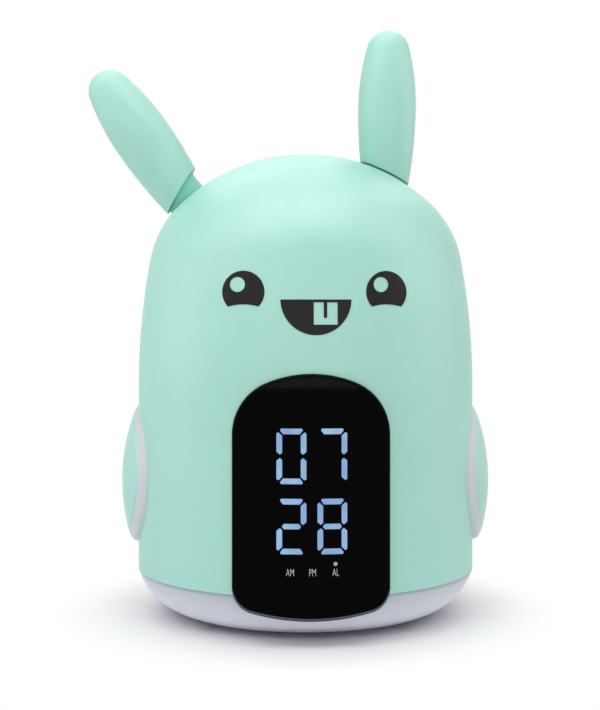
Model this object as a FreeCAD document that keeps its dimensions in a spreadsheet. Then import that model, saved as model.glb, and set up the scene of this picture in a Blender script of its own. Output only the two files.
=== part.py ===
"""Kids alarm clock with a night light: a round body with two tipping ears and two flank buttons.

Millimetres, +Z up, front towards -Y. The origin is on the table, on the axis of the round body.
"""
import FreeCAD, Part
import math
import os
import re
from types import SimpleNamespace

import Sketcher
from FreeCAD import Placement, Rotation, Vector

doc = FreeCAD.newDocument("kids_alarm_clock")

# Driving dimensions: name, size in millimetres or degrees, meaning
DIMENSIONS = [
    ("wall_radius", 60.0, "outer radius of the round body"),
    ("shell", 2.2, "wall of the dome"),
    ("seam_height", 16.0, "where the dome meets the light base"),
    ("wall_top", 81.1, "height where the straight wall ends"),
    ("flank_radius", 244.0, "radius of the gently leaning flank"),
    ("flank_turn", 10.6, "degrees that the flank turns through"),
    ("shoulder_radius", 36.3, "radius of the shoulder"),
    ("shoulder_end", 46.45, "degrees above level where the crown begins"),
    ("lip_radius", 55.9, "outer radius of the locating lip under the dome"),
    ("lip_wall", 1.8, "wall of the locating lip"),
    ("lip_depth", 3.0, "how far the lip reaches into the base"),
    ("base_bottom", 0.8, "height of the base's flat bottom"),
    ("base_flat_radius", 40.0, "radius of the base's flat bottom"),
    ("base_wall", 2.5, "wall of the light base"),
    ("foot_inner", 36.7, "inner radius of the anti-slip ring"),
    ("foot_outer", 40.0, "outer radius of the anti-slip ring"),
    ("foot_height", 1.7, "height of the anti-slip ring"),
    ("boss_circle", 44.5, "radius of the circle of the four closing screws"),
    ("boss_radius", 3.2, "outer radius of a screw boss"),
    ("closing_screw", 1.45, "radius of a closing screw's shank"),
    ("small_screw", 1.0, "radius of a small screw's shank"),
    ("lens_half_width", 25.45, "half the width of the display lens, seen from the front"),
    ("lens_top", 87.25, "height of the lens's highest point"),
    ("lens_bottom", 8.65, "height of the lens's lowest point"),
    ("lens_crown", 36.8, "radius of the lens's top arch"),
    ("lens_crown_corner", 18.2, "radius of the lens's top corners"),
    ("lens_sill", 90.0, "radius of the lens's bottom arch"),
    ("lens_sill_corner", 7.7, "radius of the lens's bottom corners"),
    ("lens_face", 61.8, "radius of the lens's curved front"),
    ("lens_lean_start", 80.0, "height where the lens's front begins to lean back"),
    ("lens_lean", 50.0, "radius of that lean"),
    ("lens_back", 59.0, "radius of the lens's curved back"),
    ("lens_root", 56.2, "radius of the back of its thick foot over the base"),
    ("lens_edge", 1.1, "rounding of the lens's front edge"),
    ("digit_width", 9.5, "width of one digit"),
    ("digit_height", 17.6, "height of one digit"),
    ("digit_stroke", 1.8, "width of one segment"),
    ("digit_corner", 0.25, "rounding of a segment's corners"),
    ("digit_pitch", 13.0, "distance between the two columns"),
    ("hour_row", 61.25, "height of the middle of the hour digits"),
    ("minute_row", 39.0, "height of the middle of the minute digits"),
    ("alarm_dot_across", 7.5, "alarm dot, distance from the middle"),
    ("alarm_dot_height", 27.1, "alarm dot, height"),
    ("alarm_dot_radius", 0.63, "alarm dot, radius"),
    ("disc_height", 47.1, "height where the flank buttons' axis crosses the body's axis"),
    ("disc_tilt", 2.4, "degrees that the flank buttons look upward"),
    ("ring_radius", 24.8, "outer radius of a flank ring"),
    ("ring_bore", 21.9, "inner radius of a flank ring"),
    ("ring_reach", 68.15, "distance from the body's axis to the summit of the ring's curved face"),
    ("ring_bulge_level", 30.35, "radius of the ring's curved face, seen from above"),
    ("ring_bulge_upright", 45.0, "radius of the ring's curved face, seen from the front"),
    ("ring_round", 2.6, "rounding of the ring's outer edge"),
    ("ring_floor", 47.5, "distance from the body's axis to the ring's inner end"),
    ("ring_floor_wall", 1.6, "thickness of the ring's floor"),
    ("ring_flange", 27.6, "radius of the ring's flange inside the dome"),
    ("cap_radius", 21.6, "radius of a flank button"),
    ("cap_reach", 66.0, "distance from the body's axis to the button's middle"),
    ("cap_bulge_level", 37.0, "radius of the button's curved face, seen from above"),
    ("cap_bulge_upright", 70.0, "radius of the button's curved face, seen from the front"),
    ("cap_round", 1.0, "rounding of the button's edge"),
    ("cap_wall", 1.8, "wall of the button"),
    ("cap_lift", 3.0, "gap between the button's skirt and the ring's floor"),
    ("stem_radius", 2.6, "radius of the button's stem"),
    ("pivot_across", 25.7, "distance of an ear's pin from the body's axis"),
    ("pivot_height", 127.0, "height of an ear's pin"),
    ("ear_lean", 33.7, "degrees that an ear tips outward"),
    ("ear_offset", 2.84, "distance of the ear's own axis from its pin"),
    ("ear_slant", 1.09, "degrees between the ear's own axis and the upright"),
    ("ear_tip", 82.1, "height of the ear's tip above its pin"),
    ("ear_belly", 54.0, "height of the ear's widest place above its pin"),
    ("ear_half_width", 10.45, "half the ear's greatest width"),
    ("ear_tip_radius", 7.8, "rounding of the ear's tip"),
    ("ear_lower_radius", 172.0, "radius of the ear's lower sides"),
    ("ear_wall", 1.5, "wall of the ear"),
    ("heel_across", 5.74, "inner end of the ear's slanting base, distance inward from its pin"),
    ("heel_height", 34.5, "height of that end above the pin"),
    ("toe_across", 11.5, "outer end of the ear's slanting base, distance outward from its pin"),
    ("toe_height", 26.2, "height of that end above the pin"),
    ("ear_seat", 0.75, "distance of the dome's flat seat below the ear's base"),
    ("neck_half_width", 7.4, "half the width of the neck below the ear"),
    ("neck_half_depth", 6.3, "half the depth of the neck"),
    ("neck_slant", 6.0, "degrees between the neck and the upright"),
    ("neck_top", 40.0, "length of the neck from the pin"),
    ("slot_half_depth", 7.0, "half the depth of the ear's slot in the dome"),
    ("shutter_radius", 23.2, "outer radius of the shutter under the slot"),
    ("shutter_wall", 1.6, "thickness of the shutter"),
    ("shutter_half_depth", 9.2, "half the depth of the shutter"),
    ("hub_radius", 5.0, "radius of the ear lever's hub"),
    ("ear_pin_radius", 1.5, "radius of the ear's pin"),
    ("pin_clearance", 0.05, "gap between a pin and its bore"),
    ("deck_height", 110.0, "height of the top of the ear deck"),
    ("deck_radius", 54.0, "radius of the ear deck"),
    ("deck_wall", 2.0, "thickness of the ear deck"),
    ("board", 1.6, "thickness of a circuit board"),
    ("door_half_width", 16.9, "half the width of the battery door"),
    ("door_front", -31.0, "front edge of the battery door"),
    ("door_rear", 26.0, "hinged edge of the battery door"),
    ("door_wall", 2.2, "thickness of the battery door"),
    ("door_gap", 0.35, "gap round the battery door"),
    ("cell_radius", 5.25, "radius of an AAA cell"),
    ("cell_length", 44.5, "length of an AAA cell"),
    ("cell_height", 9.6, "height of the cells' axes"),
    ("panel_half_width", 20.0, "half the width of the rear panel"),
    ("panel_bottom", 24.0, "lower edge of the rear panel"),
    ("panel_top", 66.0, "upper edge of the rear panel"),
    ("panel_face", 60.5, "radius of the rear panel's outer face"),
    ("panel_back", 58.6, "radius of the rear panel's inner face"),
    ("key_radius", 3.6, "radius of a rear key"),
    ("key_face", 61.6, "distance from the body's axis to a rear key's end"),
    ("key_across", 9.0, "distance of the rear keys from the middle"),
    ("socket_height", 31.0, "height of the power socket"),
    ("speaker_height", 88.0, "height of the speaker's axis"),
    ("speaker_radius", 20.0, "radius of the speaker"),
    ("eye_radius", 6.85, "radius of a printed eye"),
    ("eye_height", 113.5, "height of the eyes"),
    ("eye_half_distance", 23.25, "half the distance between the eyes"),
    ("face_shift", 1.35, "distance of the face's middle from the lens's middle"),
    ("mouth_radius", 11.4, "radius of the printed half-round mouth"),
    ("mouth_shift", 0.1, "distance of the mouth's middle from the face's middle"),
    ("mouth_height", 111.0, "height of the mouth's straight edge"),
    ("print_thickness", 0.12, "thickness of the printed face"),
]

sheet = doc.addObject("Spreadsheet::Sheet", "dims")
for row, (alias, number, meaning) in enumerate(DIMENSIONS, start=1):
    sheet.set(f"A{row}", meaning)
    sheet.set(f"B{row}", str(number))
    sheet.setAlias(f"B{row}", alias)
doc.recompute()
ALIASES = {alias for alias, _, _ in DIMENSIONS}
D = SimpleNamespace(**{alias: float(sheet.get(alias)) for alias in ALIASES})

X_AXIS = Vector(1, 0, 0)
Y_AXIS = Vector(0, 1, 0)
Z_AXIS = Vector(0, 0, 1)
BOSS_ANGLES = (45, 135, 225, 315)
SUB_PARTS = {}


# Small tools: sizes bound to the sheet, primitives, booleans and sketches


def linked(text):
    """An expression with the sheet's name before each alias."""
    def with_sheet(word):
        return f"dims.{word.group()}" if word.group() in ALIASES else word.group()

    return re.sub(r"[a-z][a-z_0-9]*", with_sheet, text)


def size(item, prop, amount):
    """Set a property to a number, or bind it to the sheet with an expression."""
    if isinstance(amount, str):
        item.setExpression(prop, linked(amount))
    else:
        setattr(item, prop, amount)


def place(item, at=(0, 0, 0), turn=None):
    """Put an object at a point whose coordinates are numbers or expressions."""
    numbers = [0 if isinstance(value, str) else value for value in at]
    item.Placement = Placement(Vector(*numbers), turn or Rotation())
    for name, value in zip("xyz", at):
        if isinstance(value, str):
            item.setExpression(f"Placement.Base.{name}", linked(value))


def box(length, width, height, at):
    item = doc.addObject("Part::Box", "box")
    size(item, "Length", length)
    size(item, "Width", width)
    size(item, "Height", height)
    place(item, at)
    return item


def cylinder(radius, height, at, along=Z_AXIS):
    item = doc.addObject("Part::Cylinder", "cylinder")
    size(item, "Radius", radius)
    size(item, "Height", height)
    place(item, at, Rotation(Z_AXIS, along))
    return item


def cone(low_radius, high_radius, height, at, along=Z_AXIS):
    item = doc.addObject("Part::Cone", "cone")
    size(item, "Radius1", low_radius)
    size(item, "Radius2", high_radius)
    size(item, "Height", height)
    place(item, at, Rotation(Z_AXIS, along))
    return item


def fuse(*items):
    if len(items) == 1:
        return items[0]
    union = doc.addObject("Part::MultiFuse", "fuse")
    union.Shapes = list(items)
    return union


def cut(base, *tools):
    result = doc.addObject("Part::Cut", "cut")
    result.Base = base
    result.Tool = fuse(*tools)
    return result


def common(first, second):
    result = doc.addObject("Part::Common", "common")
    result.Base = first
    result.Tool = second
    return result


def solid(shape, name="shape"):
    """A shape that neither a sketch nor a primitive gives."""
    item = doc.addObject("Part::Feature", name)
    item.Shape = shape
    return item


def turned(item, placement):
    """The same object carried by a further placement, when nothing moves it afterwards."""
    item.Placement = placement.multiply(item.Placement)
    return item


def name_part(item, label):
    """Give a finished sub-part the name of its file."""
    item.Label = label
    SUB_PARTS[label] = item
    return item


def body(label):
    return doc.addObject("PartDesign::Body", label)


def sketch_on(part, role):
    """A sketch on one of a body's own origin planes."""
    sketch = part.newObject("Sketcher::SketchObject", "outline")
    plane = next(item for item in part.Origin.OriginFeatures if item.Role == role)
    sketch.AttachmentSupport = [(plane, "")]
    sketch.MapMode = "FlatFace"
    return sketch


def trace(sketch, start, *steps):
    """Draw a closed outline. A step is an end point, or the middle and the end of an arc."""
    here = start
    ends = []
    for step in steps:
        if isinstance(step[0], tuple):
            middle, end = step
            curve = Part.Arc(Vector(*here, 0), Vector(*middle, 0), Vector(*end, 0))
        else:
            end = step
            curve = Part.LineSegment(Vector(*here, 0), Vector(*end, 0))
        index = sketch.addGeometry(curve, False)
        forward = sketch.getPoint(index, 1).distanceToPoint(Vector(*here, 0)) < 1e-6
        ends.append((index, 1, 2) if forward else (index, 2, 1))
        here = end
    for this, following in zip(ends, ends[1:] + ends[:1]):
        sketch.addConstraint(Sketcher.Constraint("Coincident", this[0], this[2], following[0], following[1]))
    return ends


def hold(sketch, kind, geometry, amount):
    """Bind one dimension of a sketch to the sheet."""
    index = sketch.addConstraint(Sketcher.Constraint(kind, *geometry))
    sketch.setExpression(f"Constraints[{index}]", linked(amount))


def revolve(part, sketch, kind="PartDesign::Revolution"):
    """Turn a body's outline once round the sketch's upright axis."""
    feature = part.newObject(kind, "turning")
    feature.Profile = sketch
    feature.ReferenceAxis = (sketch, ["V_Axis"])
    feature.Angle = 360
    return feature


def pad(part, sketch, length, reverse=False):
    feature = part.newObject("PartDesign::Pad", "pad")
    feature.Profile = sketch
    size(feature, "Length", length)
    feature.Reversed = reverse
    return feature


def rounded(x, y, half_width, half_height, radius):
    """The steps of a rounded rectangle about a point, for trace."""
    bend = radius * (1 - math.sqrt(0.5))
    left, right = x - half_width, x + half_width
    low, high = y - half_height, y + half_height
    return [
        (left + radius, low),
        (right - radius, low),
        ((right - bend, low + bend), (right, low + radius)),
        (right, high - radius),
        ((right - bend, high - bend), (right - radius, high)),
        (left + radius, high),
        ((left + bend, high - bend), (left, high - radius)),
        (left, low + radius),
        ((left + bend, low + bend), (left + radius, low)),
    ]


def prism(steps, depth, towards_front=True):
    """A block standing on the XZ plane under an outline drawn in front view."""
    part = body("block")
    sketch = sketch_on(part, "XZ_Plane")
    trace(sketch, *steps)
    pad(part, sketch, depth, reverse=not towards_front)
    return part


def skin(inner, outer, low, high):
    """A round tube about the body's axis between two radii and two heights."""
    height = f"({high}) - ({low})"
    outside = cylinder(outer, height, (0, 0, low))
    return cut(outside, cylinder(inner, height, (0, 0, low)))


def screw(head_radius, head_height, shank_radius, length, at, along):
    """A pan-head screw whose head's top is at a point and whose shank runs along a direction."""
    head = cylinder(head_radius, head_height, at, along)
    start = Vector(*at) + along * head_height
    shank = cylinder(shank_radius, length - head_height, tuple(start), along)
    slot_depth = head_height * 0.45
    cross = [box(head_radius, 0.5, slot_depth, (0, 0, 0)), box(0.5, head_radius, slot_depth, (0, 0, 0))]
    turn = Rotation(Z_AXIS, along)
    for slot in cross:
        corner = Vector(-slot.Length.Value / 2, -slot.Width.Value / 2, 0)
        slot.Placement = Placement(Vector(*at), turn).multiply(Placement(corner, Rotation()))
    return cut(fuse(head, shank), *cross)


def polar(radius, angle, height=0.0):
    """A point on a circle about the body's axis."""
    return (radius * math.cos(math.radians(angle)), radius * math.sin(math.radians(angle)), height)


# The dome's outline: straight wall, leaning flank, shoulder and crown, offset by a wall


def dome_points(inset):
    """Corners and arc middles of the dome's outline, as far inside the outer face as the inset."""
    flank_centre = D.wall_radius - D.flank_radius

    def on(centre, radius, degrees):
        angle = math.radians(degrees)
        return (centre[0] + radius * math.cos(angle), centre[1] + radius * math.sin(angle))

    flank = (flank_centre, D.wall_top)
    flank_end = on(flank, D.flank_radius, D.flank_turn)
    shoulder = on(flank_end, -D.shoulder_radius, D.flank_turn)
    shoulder_end = on(shoulder, D.shoulder_radius, D.shoulder_end)
    crown_radius = shoulder_end[0] / math.cos(math.radians(D.shoulder_end))
    crown = (0.0, shoulder_end[1] - crown_radius * math.sin(math.radians(D.shoulder_end)))
    return SimpleNamespace(
        wall=D.wall_radius - inset,
        wall_end=(D.wall_radius - inset, D.wall_top),
        flank_middle=on(flank, D.flank_radius - inset, D.flank_turn / 2),
        flank_end=on(flank, D.flank_radius - inset, D.flank_turn),
        shoulder_middle=on(shoulder, D.shoulder_radius - inset, (D.flank_turn + D.shoulder_end) / 2),
        shoulder_end=on(shoulder, D.shoulder_radius - inset, D.shoulder_end),
        crown_middle=on(crown, crown_radius - inset, (D.shoulder_end + 90) / 2),
        top=(0.0, crown[1] + crown_radius - inset),
        flank_centre=flank,
        crown_radius=crown_radius,
        crown_centre=crown,
    )


OUTSIDE = dome_points(0.0)
INSIDE = dome_points(D.shell)


def flank_radius_at(height, offset=0.0):
    """The dome's outer radius on its leaning flank."""
    rise = height - D.wall_top
    reach = D.flank_radius + offset
    return D.wall_radius - D.flank_radius + math.sqrt(reach**2 - rise**2)


# Outlines seen from the front


def lens_outline(margin=0.0):
    """The display lens: a tall window with an arched top and a gently arched sill."""
    half = D.lens_half_width + margin

    def arch(apex, crown_radius, corner_radius, sign):
        crown_centre = apex + sign * margin - sign * (crown_radius + margin)
        corner_x = D.lens_half_width - corner_radius
        reach = crown_radius - corner_radius
        rise = math.sqrt(reach**2 - corner_x**2)
        corner_z = crown_centre + sign * rise
        join = Vector(corner_x, sign * rise, 0).normalize()
        middle = Vector(join.x + 1, join.y, 0).normalize()
        corner = corner_radius + margin
        return SimpleNamespace(
            side=(half, corner_z),
            corner_middle=(corner_x + corner * middle.x, corner_z + corner * middle.y),
            corner_end=(corner_x + corner * join.x, corner_z + corner * join.y),
            apex=(0.0, apex + sign * margin),
        )

    top = arch(D.lens_top, D.lens_crown, D.lens_crown_corner, 1)
    sill = arch(D.lens_bottom, D.lens_sill, D.lens_sill_corner, -1)

    def left(point):
        return (-point[0], point[1])

    return [
        sill.side,
        top.side,
        (top.corner_middle, top.corner_end),
        (top.apex, left(top.corner_end)),
        (left(top.corner_middle), left(top.side)),
        left(sill.side),
        (left(sill.corner_middle), left(sill.corner_end)),
        (sill.apex, sill.corner_end),
        (sill.corner_middle, sill.side),
    ]


def segment_outlines(x, z):
    """The seven segments of one digit about its middle: bevelled bars with a small gap between them."""
    half_width = D.digit_width / 2
    half_height = D.digit_height / 2
    stroke = D.digit_stroke
    nick = 0.6

    def bar(sign):
        edge = half_width - 1.4
        top = half_height
        return [
            (-edge, sign * top),
            (edge, sign * top),
            (edge + 0.25, sign * (top - nick)),
            (edge - 0.7, sign * (top - stroke)),
            (-edge + 0.7, sign * (top - stroke)),
            (-edge - 0.25, sign * (top - nick)),
        ]

    def post(side, sign):
        outer, inner = side * half_width, side * (half_width - stroke)
        return [
            (outer, sign * 1.45),
            (outer, sign * (half_height - 1.6)),
            (side * (half_width - nick), sign * (half_height - 1.15)),
            (inner, sign * (half_height - 2.3)),
            (inner, sign * 1.2),
            (side * (half_width - 1.1), sign * 0.5),
        ]

    middle = [
        (-half_width + 1.7, 0.0),
        (-half_width + 2.35, 0.85),
        (half_width - 2.35, 0.85),
        (half_width - 1.7, 0.0),
        (half_width - 2.35, -0.85),
        (-half_width + 2.35, -0.85),
    ]
    shapes = {
        "a": bar(1),
        "b": post(1, 1),
        "c": post(1, -1),
        "d": bar(-1),
        "e": post(-1, -1),
        "f": post(-1, 1),
        "g": middle,
    }
    return {key: [(x + px, z + pz) for px, pz in points] for key, points in shapes.items()}


DIGITS = [
    (-0.5, "hour_row", "abcdef"),
    (0.5, "hour_row", "abc"),
    (-0.5, "minute_row", "abged"),
    (0.5, "minute_row", "abcdefg"),
]


def front_prisms(outlines, depth, rounding):
    """Blocks from the XZ plane towards the front, one for each closed outline, with rounded corners."""
    blocks = []
    for points in outlines:
        corners = [Vector(x, 0, z) for x, z in points]
        face = Part.Face(Part.makePolygon(corners + corners[:1]))
        block = face.extrude(Vector(0, -depth, 0))
        long_edges = [edge for edge in block.Edges if abs(edge.Length - depth) < 1e-6]
        blocks.append(block.makeFillet(rounding, long_edges))
    return Part.makeCompound(blocks)


# Casing


def make_dome():
    blank = body("dome_blank")
    sketch = sketch_on(blank, "XZ_Plane")
    lip_outer = D.lip_radius
    lip_inner = D.lip_radius - D.lip_wall
    lip_end = D.seam_height - D.lip_depth
    trace(
        sketch,
        (D.wall_radius, D.seam_height),
        OUTSIDE.wall_end,
        (OUTSIDE.flank_middle, OUTSIDE.flank_end),
        (OUTSIDE.shoulder_middle, OUTSIDE.shoulder_end),
        (OUTSIDE.crown_middle, OUTSIDE.top),
        INSIDE.top,
        (INSIDE.crown_middle, INSIDE.shoulder_end),
        (INSIDE.shoulder_middle, INSIDE.flank_end),
        (INSIDE.flank_middle, INSIDE.wall_end),
        (INSIDE.wall, D.seam_height + 7),
        (lip_inner, D.seam_height + 3),
        (lip_inner, lip_end),
        (lip_outer, lip_end),
        (lip_outer, D.seam_height),
        (D.wall_radius, D.seam_height),
    )
    hold(sketch, "Radius", (1, D.flank_radius), "flank_radius")
    hold(sketch, "Radius", (2, D.shoulder_radius), "shoulder_radius")
    hold(sketch, "Radius", (6, D.shoulder_radius - D.shell), "shoulder_radius - shell")
    revolve(blank, sketch)

    bosses = []
    bores = []
    for angle in BOSS_ANGLES:
        x, y, _ = polar(D.boss_circle, angle)
        bosses.append(cylinder("boss_radius", 7.6, (x, y, 14.0)))
        bosses.append(cylinder("boss_radius + 1.2", 12.4, (x, y, 21.6)))
        rib = box(12.0, 2.0, 10.0, (0, -1.0, 0))
        at = Vector(*polar(D.boss_circle + 2.0, angle, 24.0))
        bosses.append(turned(rib, Placement(at, Rotation(Z_AXIS, angle))))
        bores.append(cylinder("closing_screw + 0.05", 19.0, (x, y, 13.0)))
    for angle in (30, 150, 210, 330):
        shelf = box(10.0, 8.0, 8.0, (0, -4.0, 0))
        at = Vector(*polar(48.5, angle, D.deck_height - D.deck_wall - 8.0))
        bosses.append(turned(shelf, Placement(at, Rotation(Z_AXIS, angle))))
        x, y, _ = polar(51.0, angle)
        bores.append(cylinder("small_screw + 0.05", 6.6, (x, y, "deck_height - deck_wall - 6.5")))
    for x in (-17.6, 17.6):
        for z in (30.0, 70.0):
            bosses.append(cylinder(2.6, 6.4, (x, -50.4, z), -Y_AXIS))
            bores.append(cylinder("small_screw + 0.05", 4.6, (x, -50.3, z), -Y_AXIS))
    for side in (-1, 1):
        sweep = cylinder("shutter_radius + 0.4", 60.0, (side * D.pivot_across, -30.0, "pivot_height"), Y_AXIS)
        bosses.append(cut(ear_slot(side, 1.2), sweep))
    inner_bound = revolve_bound()
    lugs = common(fuse(*bosses), inner_bound)
    body_with_lugs = cut(fuse(blank, lugs), *bores)

    # The lens's recess, with a window behind it for the display block
    recess = cut(prism(lens_outline(0.1), 70.0), cylinder("lens_back - 0.1", 120.0, (0, 0, 0)))
    window = box(28.4, 20.0, 46.0, (-14.2, -65.0, 27.4))
    # The rear panel's recess, with a window behind it for the keys
    middle = (D.panel_top + D.panel_bottom) / 2
    tall = (D.panel_top - D.panel_bottom) / 2
    panel_shape = prism(rounded(0, middle, D.panel_half_width + 0.1, tall + 0.1, 5.1), 70.0, False)
    panel_recess = cut(panel_shape, cylinder("panel_back - 0.05", 120.0, (0, 0, 0)))
    panel_window = prism(rounded(0, middle, D.panel_half_width - 2.5, tall - 2.5, 3.0), 70.0, False)
    holes = [recess, window, panel_recess, panel_window]
    for side in (-1, 1):
        holes.append(disc_axis_cylinder("ring_radius + 0.03", 30.0, 45.0, side))
        holes.append(ear_slot(side))
        holes.append(ear_seat(side))
    for x, z in speaker_grille():
        holes.append(cylinder(1.1, 14.0, (x, 50.0, z), Y_AXIS))
    name_part(cut(body_with_lugs, *holes), "dome_shell")


def revolve_bound():
    """The room inside the dome's inner face, a hair larger so that lugs join the wall."""
    part = body("bound")
    sketch = sketch_on(part, "XZ_Plane")
    bound = dome_points(D.shell - 0.6)
    trace(
        sketch,
        (0.0, D.seam_height - 2.0),
        (D.lip_radius - 1.0, D.seam_height - 2.0),
        (D.lip_radius - 1.0, D.seam_height + 6.0),
        (bound.wall, D.seam_height + 8.0),
        bound.wall_end,
        (bound.flank_middle, bound.flank_end),
        (bound.shoulder_middle, bound.shoulder_end),
        (bound.crown_middle, bound.top),
        (0.0, D.seam_height - 2.0),
    )
    revolve(part, sketch)
    return part


def make_base():
    blank = body("base_blank")
    sketch = sketch_on(blank, "XZ_Plane")
    run = D.wall_radius - D.base_flat_radius
    rise = D.seam_height - D.base_bottom
    bend = (run**2 + rise**2) / (2 * rise)
    centre = (D.base_flat_radius, D.base_bottom + bend)

    def on_bowl(radius, height):
        reach = math.sqrt(radius**2 - (centre[1] - height) ** 2)
        return (centre[0] + reach, height)

    inner = bend - D.base_wall
    low = centre[1] - bend * math.cos(math.radians(35))
    low_inner = centre[1] - inner * math.cos(math.radians(35))
    trace(
        sketch,
        (0.0, D.base_bottom),
        (D.base_flat_radius, D.base_bottom),
        (on_bowl(bend, low), (D.wall_radius, D.seam_height)),
        on_bowl(inner, D.seam_height),
        (on_bowl(inner, low_inner), (D.base_flat_radius, D.base_bottom + D.base_wall)),
        (0.0, D.base_bottom + D.base_wall),
        (0.0, D.base_bottom),
    )
    revolve(blank, sketch)

    posts = []
    bores = []
    for angle in BOSS_ANGLES:
        x, y, _ = polar(D.boss_circle, angle)
        posts.append(cylinder(4.6, 10.2, (x, y, 3.6)))
        bores.append(cylinder("closing_screw + 0.35", 20.0, (x, y, 0.0)))
        bores.append(cylinder(3.5, 6.3, (x, y, 0.0)))
    opening = box(
        "2 * door_half_width + 2 * door_gap",
        "door_rear - door_front + 2 * door_gap",
        4.0,
        ("-door_half_width - door_gap", "door_front - door_gap", 0),
    )
    groove = skin("foot_inner - 0.05", "foot_outer + 0.05", "0", "foot_height")
    lens_seat = cut(prism(lens_outline(0.1), 70.0), cylinder("lens_root - 0.1", 120.0, (0, 0, 0)))
    name_part(cut(fuse(blank, *posts), opening, groove, lens_seat, *bores), "light_base")


def make_foot_ring():
    ring = body("foot_ring")
    sketch = sketch_on(ring, "XY_Plane")
    for radius in ("foot_inner", "foot_outer"):
        amount = getattr(D, radius)
        index = sketch.addGeometry(Part.Circle(Vector(0, 0, 0), Z_AXIS, amount), False)
        sketch.addConstraint(Sketcher.Constraint("Coincident", index, 3, -1, 1))
        hold(sketch, "Radius", (index, amount), radius)
    pad(ring, sketch, "foot_height - 0.05")
    name_part(ring, "foot_ring")


def make_base_screws():
    screws = []
    for angle in BOSS_ANGLES:
        at = polar(D.boss_circle, angle, 4.0)
        screws.append(screw(3.0, 2.2, D.closing_screw, 24.0, at, Z_AXIS))
    name_part(fuse(*screws), "base_screws")


# Display


def lens_face_at(height):
    """The radius of the lens's front, which leans back towards its top."""
    rise = max(0.0, height - D.lens_lean_start)
    return D.lens_face - D.lens_lean + math.sqrt(D.lens_lean**2 - rise**2)


def lens_skin():
    """The lens's wall all the way round the body, between its back and its front."""
    low, high = 0.0, D.lens_top + 3.0
    middle = (D.lens_lean_start + high) / 2
    part = body("lens_wall")
    sketch = sketch_on(part, "XZ_Plane")
    trace(
        sketch,
        (D.lens_back, low),
        (D.lens_face, low),
        (D.lens_face, D.lens_lean_start),
        ((lens_face_at(middle), middle), (lens_face_at(high), high)),
        (D.lens_back, high),
        (D.lens_back, low),
    )
    revolve(part, sketch)
    return part


def make_display():
    slab = common(prism(lens_outline(), 70.0), lens_skin())
    doc.recompute()
    front = [edge for edge in slab.Shape.Edges if on_front_loop(edge)]
    rounded_slab = solid(slab.Shape.makeFillet(D.lens_edge, front), "lens_slab")
    foot_skin = skin("lens_root", "lens_back", "0", "seam_height - 0.05")
    thick_foot = common(prism(lens_outline(), 70.0), foot_skin)
    outlines = []
    for column, row, lit in DIGITS:
        shapes = segment_outlines(column * D.digit_pitch, getattr(D, row))
        outlines += [shapes[letter] for letter in lit]
    segments = solid(front_prisms(outlines, 70.0, D.digit_corner), "segment_blocks")
    face_skin = skin("lens_face - 0.5", "lens_face", "0", "100")
    dot_at = ("alarm_dot_across", 0, "alarm_dot_height")
    dot = common(cylinder("alarm_dot_radius", 70.0, dot_at, -Y_AXIS), face_skin)
    lit = common(segments, face_skin)
    name_part(lit, "digit_segments")
    name_part(dot, "alarm_dot")
    name_part(cut(fuse(rounded_slab, thick_foot), lit, dot), "display_lens")

    chambers = []
    for column, row, _ in DIGITS:
        shapes = segment_outlines(column * D.digit_pitch, getattr(D, row))
        chambers += list(shapes.values())
    block = box(27.6, 6.0, 45.2, (-13.8, -56.4, 27.8))
    hollow = solid(front_prisms(chambers, 70.0, D.digit_corner), "chamber_blocks")
    dot_bore = cylinder("alarm_dot_radius", 70.0, dot_at, -Y_AXIS)
    name_part(cut(block, hollow, dot_bore), "display_reflector")

    board = box(42.0, "board", 52.0, (-21.0, -50.4, 24.0))
    screw_places = [(x, z) for x in (-17.6, 17.6) for z in (30.0, 70.0)]
    clearances = [cylinder("small_screw + 0.1", 6.0, (x, -46.0, z), -Y_AXIS) for x, z in screw_places]
    name_part(cut(board, *clearances), "display_board")
    screws = [screw(2.0, 1.4, D.small_screw, 5.6, (x, -47.4, z), -Y_AXIS) for x, z in screw_places]
    name_part(fuse(*screws), "display_screws")
    dies = []
    for points in chambers:
        x = sum(point[0] for point in points) / len(points)
        z = sum(point[1] for point in points) / len(points)
        dies.append(box(1.2, 0.6, 1.2, (x - 0.6, -51.0, z - 0.6)))
    name_part(fuse(*dies), "display_leds")


def on_front_loop(edge):
    """Whether an edge runs round the lens's front, and not across it where the lean begins."""
    points = edge.discretize(5)
    across = all(abs(point.z - D.lens_lean_start) < 1e-3 for point in points)
    on_face = all(abs(math.hypot(point.x, point.y) - lens_face_at(point.z)) < 1e-3 for point in points)
    return on_face and not across


# Flank buttons: a ring with a floor, a domed cap, its spring and its switch


def disc_frame(side):
    """Where a flank button's own axis starts and points: outward and a little upward."""
    tilt = Rotation(Y_AXIS, 90 - D.disc_tilt)
    if side < 0:
        tilt = Rotation(Z_AXIS, 180).multiply(tilt)
    return Placement(Vector(0, 0, D.disc_height), tilt)


def disc_axis_cylinder(radius, height, start, side):
    """A cylinder on a flank button's axis, from a distance along that axis."""
    item = cylinder(radius, height, (0, 0, 0))
    item.Placement = disc_frame(side).multiply(Placement(Vector(0, 0, start), Rotation()))
    return item


def turned_piece(steps, side):
    """A piece turned about a flank button's axis; its outline is distance from axis, then along it."""
    part = body("turned_piece")
    sketch = sketch_on(part, "XZ_Plane")
    trace(sketch, *steps)
    revolve(part, sketch)
    part.Placement = disc_frame(side)
    return part


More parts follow.
